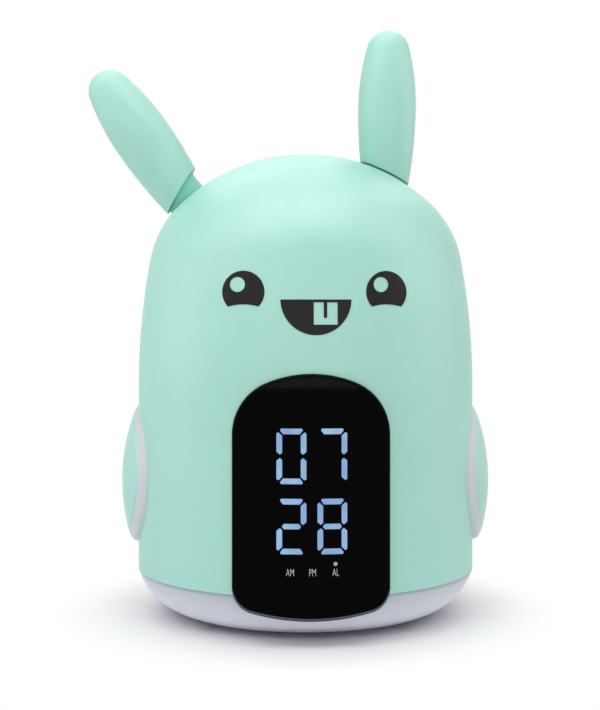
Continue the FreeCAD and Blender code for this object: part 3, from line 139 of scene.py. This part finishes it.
class Shader:
    """A material's nodes, with short ways to add and join them."""

    def __init__(self, name):
        self.material = bpy.data.materials.new(name)
        self.material.use_nodes = True
        self.tree = self.material.node_tree
        self.bsdf = self.tree.nodes["Principled BSDF"]
        self.coords = self.tree.nodes.new("ShaderNodeTexCoord").outputs["Object"]

    def add(self, kind, **settings):
        node = self.tree.nodes.new(kind)
        for key, value in settings.items():
            setattr(node, key, value)
        return node

    def join(self, source, target):
        self.tree.links.new(source, target)

    def set(self, **values):
        for key, value in values.items():
            self.bsdf.inputs[key.replace("_", " ")].default_value = value

    def noise(self, scale, detail=2.0, stretch=(1, 1, 1)):
        """A noise over the object; the scale is in patches per metre."""
        mapping = self.add("ShaderNodeMapping")
        mapping.inputs["Scale"].default_value = stretch
        self.join(self.coords, mapping.inputs["Vector"])
        noise = self.add("ShaderNodeTexNoise")
        noise.inputs["Scale"].default_value = scale
        noise.inputs["Detail"].default_value = detail
        self.join(mapping.outputs["Vector"], noise.inputs["Vector"])
        return noise.outputs["Fac"]

    def spread(self, source, low, high, first=0.35, last=0.65, easing="LINEAR"):
        """Map the values between first and last, by default a noise's middle part, to low up to high."""
        ramp = self.add("ShaderNodeMapRange", interpolation_type=easing)
        ramp.inputs["From Min"].default_value = first
        ramp.inputs["From Max"].default_value = last
        ramp.inputs["To Min"].default_value = low
        ramp.inputs["To Max"].default_value = high
        self.join(source, ramp.inputs["Value"])
        return ramp.outputs["Result"]

    def times(self, first, second):
        """The product of two values."""
        product = self.add("ShaderNodeMath", operation="MULTIPLY")
        self.join(first, product.inputs[0])
        self.join(second, product.inputs[1])
        return product.outputs["Value"]

    def mix(self, factor, first, second):
        """Blend two colours, or sockets, by a factor."""
        mix = self.add("ShaderNodeMix", data_type="RGBA")
        self.join(factor, mix.inputs["Factor"])
        for socket, value in ((mix.inputs["A"], first), (mix.inputs["B"], second)):
            if isinstance(value, tuple):
                socket.default_value = value
            else:
                self.join(value, socket)
        return mix.outputs["Result"]

    def colour(self, source):
        self.join(source, self.bsdf.inputs["Base Color"])

    def base_colour(self):
        """What the base colour is joined to now."""
        return self.bsdf.inputs["Base Color"].links[0].from_socket

    def roughness(self, source):
        self.join(source, self.bsdf.inputs["Roughness"])

    def bump(self, source, strength, depth):
        """Relief of a depth in metres."""
        bump = self.add("ShaderNodeBump")
        bump.inputs["Strength"].default_value = strength
        bump.inputs["Distance"].default_value = depth
        self.join(source, bump.inputs["Height"])
        self.join(bump.outputs["Normal"], self.bsdf.inputs["Normal"])

    def place(self, axis):
        """One coordinate of the surface point, in metres."""
        split = self.add("ShaderNodeSeparateXYZ")
        self.join(self.coords, split.inputs["Vector"])
        return split.outputs[axis]

    def facing(self, axis, first, last):
        """How far the surface faces along one of the object's axes, from 0 to 1 between two slopes."""
        split = self.add("ShaderNodeSeparateXYZ")
        self.join(self.add("ShaderNodeTexCoord").outputs["Normal"], split.inputs["Vector"])
        return self.spread(split.outputs[axis], 0.0, 1.0, first, last)


def backdrop_rays(tree):
    """1 for the rays that show the backdrop: the camera's, and those that gloss and glass send on."""
    rays = tree.nodes.new("ShaderNodeLightPath")
    total = rays.outputs["Is Camera Ray"]
    for kind in ("Is Glossy Ray", "Is Transmission Ray"):
        larger = tree.nodes.new("ShaderNodeMath")
        larger.operation = "MAXIMUM"
        tree.links.new(total, larger.inputs[0])
        tree.links.new(rays.outputs[kind], larger.inputs[1])
        total = larger.outputs["Value"]
    return total


def moulded(name, colour, roughness=0.42, grain=0.10, drift=0.02):
    """Moulded plastic: faint drift of colour, uneven gloss and a fine spark-eroded grain."""
    shader = Shader(name)
    drifting = shader.spread(shader.noise(28.0, detail=3.0), 0.0, 1.0)
    shader.colour(shader.mix(drifting, linear(shade(colour, 1 - drift)), linear(shade(colour, 1 + drift))))
    shader.roughness(shader.spread(shader.noise(160.0, detail=4.0), roughness - 0.035, roughness + 0.035))
    shader.bump(shader.noise(GRAIN_PATCHES), grain, GRAIN_DEPTH)
    return shader


def mint_plastic(name, roughness, colour=MINT, gloss=1.0):
    shader = moulded(name, colour, roughness, grain=0.08, drift=0.012)
    shader.set(Specular_IOR_Level=gloss, IOR=1.6)
    return shader.material


def frosted_base():
    """The night light's frosted bowl: a painted shade, bluer, just under the seam, and painted light, a faint
    emission low on its down-turned curve.
    """
    shader = moulded("frosted_base", BASE_GREY, 0.36, grain=0.05, drift=0.012)
    # Painted shade: the band just under the seam turns a darker blue
    painted_seam_shade = shader.spread(shader.place("Z"), 0.0, 1.0, SEAM_FADE_FROM, SEAM_FADE_TO, "SMOOTHSTEP")
    shader.colour(shader.mix(painted_seam_shade, shader.base_colour(), linear(SEAM_PAINTED_SHADE)))
    shader.set(Specular_IOR_Level=0.5, Subsurface_Weight=0.7, Subsurface_Scale=0.012)
    shader.set(Subsurface_Radius=(1.0, 1.0, 1.0), Emission_Color=linear(BASE_GREY))
    # Painted light: a faint emission on the down-turned curve, short of the flat bottom, where shade falls
    turned_down = shader.facing("Z", -0.1, -0.7)
    flat_below = shader.facing("Z", -0.8, -0.95)
    glow = shader.times(turned_down, shader.spread(flat_below, UNDERSIDE_PAINTED_LIGHT, 0.0, 0.0, 1.0))
    shader.join(glow, shader.bsdf.inputs["Emission Strength"])
    return shader.material


def black_lens():
    """Black window with a treated face that mirrors little, and a painted reflection: its down-turned sill
    bevel is coloured lighter grey.
    """
    shader = Shader("black_lens")
    haze = shader.noise(60.0, detail=4.0)
    face = shader.mix(haze, linear(LENS_BLACK), linear(shade(LENS_BLACK, 1.15)))
    turned_down = shader.facing("Z", -0.02, -0.12)
    not_flat_below = shader.facing("Z", -0.70, -0.58)
    # Painted reflection: the down-turned sill bevel is coloured lighter grey
    shader.colour(shader.mix(shader.times(turned_down, not_flat_below), face, linear(LENS_SILL_REFLECTION)))
    shader.roughness(shader.spread(haze, 0.05, 0.09))
    shader.set(Specular_IOR_Level=0.03)
    return shader.material


def lit_segments():
    """Lit segments: light blue that turns lavender from one segment to the next."""
    shader = Shader("lit_segments")
    tone = shader.mix(
        shader.spread(shader.noise(55.0, detail=0.0), 0.0, 1.0, 0.4, 0.6),
        linear(DIGIT_BLUE),
        linear(DIGIT_LAVENDER),
    )
    shader.join(tone, shader.bsdf.inputs["Emission Color"])
    shader.join(shader.spread(shader.noise(400.0), 0.88, 1.0), shader.bsdf.inputs["Emission Strength"])
    shader.colour(shader.mix(shader.noise(300.0), linear(UNLIT_DARK), linear(UNLIT_LIGHT)))
    shader.set(Roughness=0.3, Specular_IOR_Level=0.1)
    return shader.material


def printed_ink(name, colour, roughness=0.38):
    """Pad-printed ink with a slightly uneven film."""
    shader = moulded(name, colour, roughness, grain=0.06, drift=0.03)
    shader.set(Specular_IOR_Level=0.15)
    return shader.material


def metal(name, colour, roughness, stretch=(1, 1, 1)):
    """Bare or plated metal with fine drawn lines."""
    shader = Shader(name)
    lines = shader.noise(DRAWN_LINES, detail=3.0, stretch=stretch)
    shader.colour(shader.mix(lines, linear(shade(colour, 0.93)), linear(shade(colour, 1.05))))
    shader.roughness(shader.spread(lines, roughness - 0.06, roughness + 0.08))
    shader.bump(lines, 0.06, DRAWN_DEPTH)
    shader.set(Metallic=1.0)
    return shader.material


def rubber(name, colour):
    shader = moulded(name, colour, 0.72, grain=0.35, drift=0.03)
    shader.set(Specular_IOR_Level=0.3)
    return shader.material


def circuit_board(name, mask, copper):
    """Solder mask with faint tracks under it."""
    shader = Shader(name)
    tracks = shader.add("ShaderNodeTexBrick")
    tracks.inputs["Scale"].default_value = 240.0
    tracks.inputs["Mortar Size"].default_value = 0.06
    tracks.inputs["Color1"].default_value = linear(mask)
    tracks.inputs["Color2"].default_value = linear(shade(mask, 0.85))
    tracks.inputs["Mortar"].default_value = linear(copper)
    shader.join(shader.coords, tracks.inputs["Vector"])
    shader.colour(tracks.outputs["Color"])
    shader.roughness(shader.spread(shader.noise(200.0), 0.3, 0.42))
    return shader.material


def cell_sleeve():
    """Battery cells: a printed sleeve with a pale band, and bare metal at both ends."""
    shader = moulded("cell_sleeve", SLEEVE_BLUE, 0.3, grain=0.02)
    along = shader.add("ShaderNodeMath", operation="ABSOLUTE")
    shader.join(shader.place("Y"), along.inputs[0])
    ends = shader.spread(along.outputs["Value"], 0.0, 1.0, SLEEVE_END, SLEEVE_END + 0.05 * MM)
    band = shader.spread(shader.place("Y"), 0.0, 1.0, SLEEVE_BAND, SLEEVE_BAND + 0.1 * MM)
    banded = shader.mix(band, shader.base_colour(), linear(SLEEVE_PALE))
    shader.colour(shader.mix(ends, banded, linear(CELL_METAL)))
    shader.join(ends, shader.bsdf.inputs["Metallic"])
    return shader.material


def dress(material, *names):
    """Give CAD nodes a material."""
    for name in names:
        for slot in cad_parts[name].material_slots:
            slot.material = material


def both(stem):
    return [f"{stem}_left", f"{stem}_right"]


# Outside
dress(mint_plastic("mint_dome", 0.48), "dome_shell", "rear_panel")
dress(mint_plastic("mint_ear", 0.50), *both("ear_shell"))
# Painted shade: the ear levers get the deeper, less glossy shaded mint
dress(mint_plastic("mint_neck_shaded", 0.45, SHADED_NECK_MINT, 0.35), *both("ear_lever"))
dress(mint_plastic("mint_cap", 0.40), *both("side_cap"))
dress(frosted_base(), "light_base", "battery_door")
dress(moulded("pale_ring", RING_GREY, 0.40, grain=0.05).material, *both("side_ring"))
dress(black_lens(), "display_lens")
dress(lit_segments(), "digit_segments", "alarm_dot")
dress(printed_ink("face_ink", INK_BLACK), "face_print")
# Rubber foot of its own grey, darkened as painted shade for the contact shadow under the bowl
dress(rubber("rubber_foot", FOOT_GREY_AND_SHADE), "foot_ring")
dress(rubber("key_rubber", KEY_MINT), "mode_button", "sound_button", "up_button", "down_button")

# Inside
dress(moulded("inner_white", INNER_WHITE, 0.5).material, "battery_tray", "display_reflector")
dress(moulded("inner_grey", INNER_GREY, 0.5).material, "ear_deck", *both("ear_bracket"))
black_parts = moulded("component_black", COMPONENT_BLACK, 0.45, grain=0.2).material
dress(black_parts, "board_parts", "key_switches", *both("ear_switch"), *both("side_switch"))
green_board = circuit_board("green_board", (0.10, 0.36, 0.20), (0.20, 0.50, 0.28))
dress(green_board, "main_board", "display_board", "key_board")
dress(circuit_board("white_board", (0.88, 0.89, 0.88), (0.80, 0.80, 0.76)), "light_board")
dress(moulded("led_yellow", LED_YELLOW, 0.25, grain=0.02).material, "light_leds", "display_leds")
dress(metal("plated_screw", (0.66, 0.66, 0.67), 0.32), "base_screws", "door_screw", "display_screws")
dress(metal("zinc_screw", (0.68, 0.67, 0.63), 0.34), "board_screws", "deck_screws")
bright_spring = metal("bright_spring", (0.74, 0.74, 0.75), 0.25)
dress(bright_spring, "battery_contacts", *both("side_spring"), *both("ear_detent"))
dress(metal("pin_steel", (0.72, 0.72, 0.73), 0.22, (1, 0.05, 1)), *both("ear_pin"), "usb_socket")
dress(metal("pressed_steel", (0.50, 0.50, 0.51), 0.38), "speaker_frame", "speaker_magnet")
dress(cell_sleeve(), "battery_cells")
dress(moulded("paper_cone", CONE_GREY, 0.85, grain=0.6, drift=0.06).material, "speaker_cone")


# Printed labels on the lens, bent to its curved front


def lens_label(text, across, material):
    """Narrow printed capitals that lie on the lens."""
    curve = bpy.data.curves.new(f"label_{text}", "FONT")
    curve.body = text
    curve.align_x = "CENTER"
    curve.align_y = "CENTER"
    curve.size = LABEL_HEIGHT / CAPITAL_SHARE
    curve.resolution_u = 4
    curve.extrude = LABEL_THICKNESS
    curve.offset = STROKE_OFFSET * curve.size
    source = bpy.data.objects.new(f"label_source_{text}", curve)
    bpy.context.scene.collection.objects.link(source)
    bpy.context.view_layer.update()
    mesh = bpy.data.meshes.new_from_object(source.evaluated_get(bpy.context.evaluated_depsgraph_get()))
    bpy.data.objects.remove(source)
    for vertex in mesh.vertices:
        x = across + vertex.co.x * LABEL_WIDTH_FACTOR
        z = LABEL_ROW + vertex.co.y
        radius = LENS_RADIUS + LABEL_LIFT + vertex.co.z
        vertex.co = (x, -math.sqrt(radius**2 - x**2), z)
    label = bpy.data.objects.new(f"label_{text.lower()}", mesh)
    bpy.context.scene.collection.objects.link(label)
    mesh.materials.clear()
    mesh.materials.append(material)
    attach(label, "casing")


label_ink = printed_ink("label_ink", LABEL_GREY, 0.5)
for text, across in LABELS.items():
    lens_label(text, across, label_ink)


# Floor, light and camera


def studio_floor():
    """A white floor that keeps the soft shadow near the object and fades to pure white further out."""
    mesh = bpy.data.meshes.new("floor")
    corners = [(x * FLOOR_REACH, y * FLOOR_REACH, 0) for x, y in ((-1, -1), (1, -1), (1, 1), (-1, 1))]
    mesh.from_pydata(corners, [], [(0, 1, 2, 3)])
    floor = bpy.data.objects.new("floor", mesh)
    bpy.context.scene.collection.objects.link(floor)
    shader = Shader("floor_white")
    shader.colour(shader.mix(shader.noise(3.0), linear(FLOOR_WHITE), linear(shade(FLOOR_WHITE, 1.01))))
    shader.set(Roughness=0.5, Specular_IOR_Level=0.2)
    glow = shader.add("ShaderNodeEmission")
    glow.inputs["Color"].default_value = PURE_WHITE
    distance = shader.add("ShaderNodeVectorMath", operation="LENGTH")
    shader.join(shader.coords, distance.inputs[0])
    fade = shader.spread(distance.outputs["Value"], 0.0, 1.0, SHADOW_KEPT_TO, SHADOW_GONE_AT, "SMOOTHSTEP")
    blend = shader.add("ShaderNodeMixShader")
    shader.join(shader.times(backdrop_rays(shader.tree), fade), blend.inputs["Fac"])
    shader.join(shader.bsdf.outputs["BSDF"], blend.inputs[1])
    shader.join(glow.outputs["Emission"], blend.inputs[2])
    output = shader.tree.nodes["Material Output"]
    shader.join(blend.outputs["Shader"], output.inputs["Surface"])
    mesh.materials.append(shader.material)


def soft_box(name, place, width, height, power):
    """A rectangular area light that looks at the object's middle."""
    lamp = bpy.data.lights.new(name, "AREA")
    lamp.shape = "RECTANGLE"
    lamp.size = width
    lamp.size_y = height
    lamp.energy = power
    obj = bpy.data.objects.new(name, lamp)
    obj.location = place
    obj.rotation_euler = (Vector(LIGHT_TARGET) - Vector(place)).to_track_quat("-Z", "Y").to_euler()
    bpy.context.scene.collection.objects.link(obj)


def studio_world():
    """White wherever the backdrop is seen, a plain grey as the light that reaches the object."""
    world = bpy.data.worlds.new("studio")
    world.use_nodes = True
    bpy.context.scene.world = world
    tree = world.node_tree
    background = tree.nodes["Background"]
    background.inputs["Color"].default_value = AMBIENT
    seen = tree.nodes.new("ShaderNodeBackground")
    seen.inputs["Color"].default_value = PURE_WHITE
    mix = tree.nodes.new("ShaderNodeMixShader")
    tree.links.new(backdrop_rays(tree), mix.inputs["Fac"])
    tree.links.new(background.outputs["Background"], mix.inputs[1])
    tree.links.new(seen.outputs["Background"], mix.inputs[2])
    tree.links.new(mix.outputs["Shader"], tree.nodes["World Output"].inputs["Surface"])


def photo_camera():
    """The photograph's camera: level, a little left of straight ahead, with the horizon above the middle."""
    data = bpy.data.cameras.new("camera")
    data.sensor_width = SENSOR
    data.lens = SENSOR * FOCAL_PIXELS / IMAGE_HEIGHT
    data.shift_x = (MIDDLE_COLUMN - AXIS_COLUMN) / IMAGE_HEIGHT
    data.shift_y = (HORIZON_ROW - MIDDLE_ROW) / IMAGE_HEIGHT
    data.clip_start = 0.01
    data.clip_end = 50
    angle = math.radians(CAMERA_AZIMUTH)
    camera = bpy.data.objects.new("camera", data)
    camera.location = (
        CAMERA_DISTANCE * math.sin(angle),
        -CAMERA_DISTANCE * math.cos(angle),
        CAMERA_HEIGHT,
    )
    camera.rotation_euler = (math.pi / 2, 0, angle)
    bpy.context.scene.collection.objects.link(camera)
    bpy.context.scene.camera = camera


studio_floor()
studio_world()
for name, (place, width, height, power) in LIGHTS.items():
    soft_box(name, place, width, height, power)
photo_camera()
bpy.context.scene.view_settings.view_transform = "Standard"
